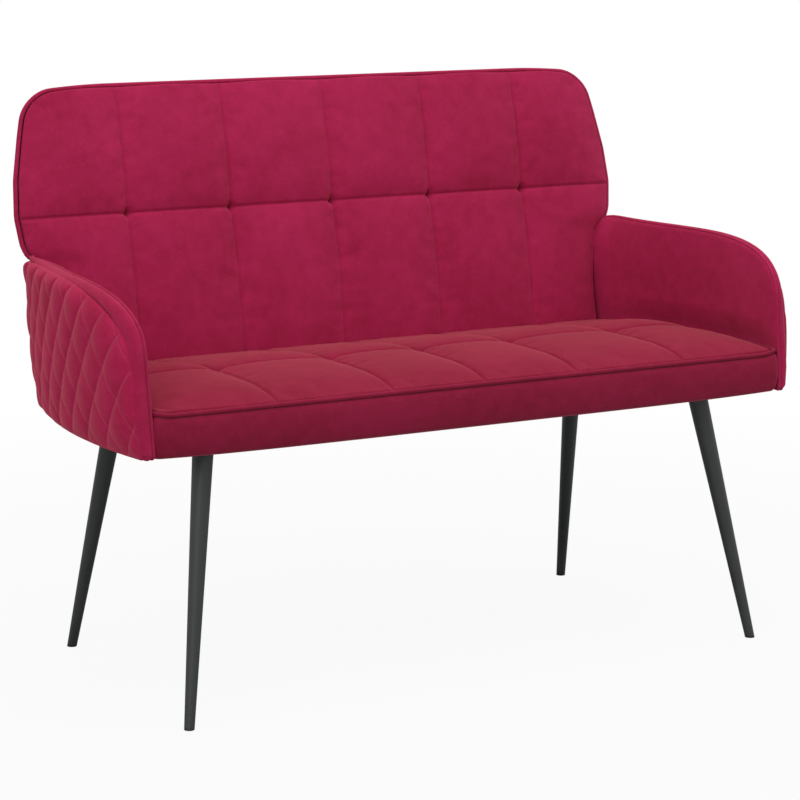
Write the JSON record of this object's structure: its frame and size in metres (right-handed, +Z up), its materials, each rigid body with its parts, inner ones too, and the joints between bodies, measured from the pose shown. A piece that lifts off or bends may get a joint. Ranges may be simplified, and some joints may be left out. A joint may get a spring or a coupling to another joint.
{
  "type": "loveseat",
  "caption": "Small upholstered two-seat bench in wine-red velvet, with a tufted seat and leaning back, curved quilted arms and splayed tapered metal legs.",
  "frame": {"origin": "on the floor under the middle of the bench's outer box", "axes": "+X to the sitter's left, which is the viewer's right from the front, +Y to the rear, +Z up; the front faces -Y"},
  "size_m": [1.1308, 0.56, 0.8429],
  "materials": {
    "velvet": "velvet",
    "foam": "matte",
    "lining_cloth": "matte",
    "plywood": "raw",
    "frame_wood": "raw",
    "leg_metal": "satin",
    "glide_plastic": "matte",
    "zinc_steel": "plated"
  },
  "bodies": {
    "root": {"arm_bolts": "zinc_steel", "arm_tee_nuts": "zinc_steel", "back_board": "plywood", "back_bolts": "zinc_steel", "back_cushion": "velvet", "back_foam": "foam", "back_piping": "velvet", "back_rear_cover": "velvet", "back_tee_nuts": "zinc_steel", "front_left_leg": "leg_metal", "front_left_leg_block": "frame_wood", "front_left_leg_glide": "glide_plastic", "front_left_leg_plate": "leg_metal", "front_right_leg": "leg_metal", "front_right_leg_block": "frame_wood", "front_right_leg_glide": "glide_plastic", "front_right_leg_plate": "leg_metal", "left_arm_edge_band": "velvet", "left_arm_inner_pad": "velvet", "left_arm_outer_pad": "velvet", "left_arm_panel": "plywood", "left_arm_piping": "velvet", "left_seat_rail": "frame_wood", "leg_bolts": "zinc_steel", "leg_tee_nuts": "zinc_steel", "rail_screws": "zinc_steel", "rear_left_leg": "leg_metal", "rear_left_leg_block": "frame_wood", "rear_left_leg_glide": "glide_plastic", "rear_left_leg_plate": "leg_metal", "rear_right_leg": "leg_metal", "rear_right_leg_block": "frame_wood", "rear_right_leg_glide": "glide_plastic", "rear_right_leg_plate": "leg_metal", "right_arm_edge_band": "velvet", "right_arm_inner_pad": "velvet", "right_arm_outer_pad": "velvet", "right_arm_panel": "plywood", "right_arm_piping": "velvet", "right_seat_rail": "frame_wood", "seat_board": "plywood", "seat_boxing": "velvet", "seat_centre_rail": "frame_wood", "seat_cushion": "velvet", "seat_dust_cover": "lining_cloth", "seat_foam": "foam", "seat_front_rail": "frame_wood", "seat_piping": "velvet", "seat_rear_rail": "frame_wood"}
  },
  "joints": []
}
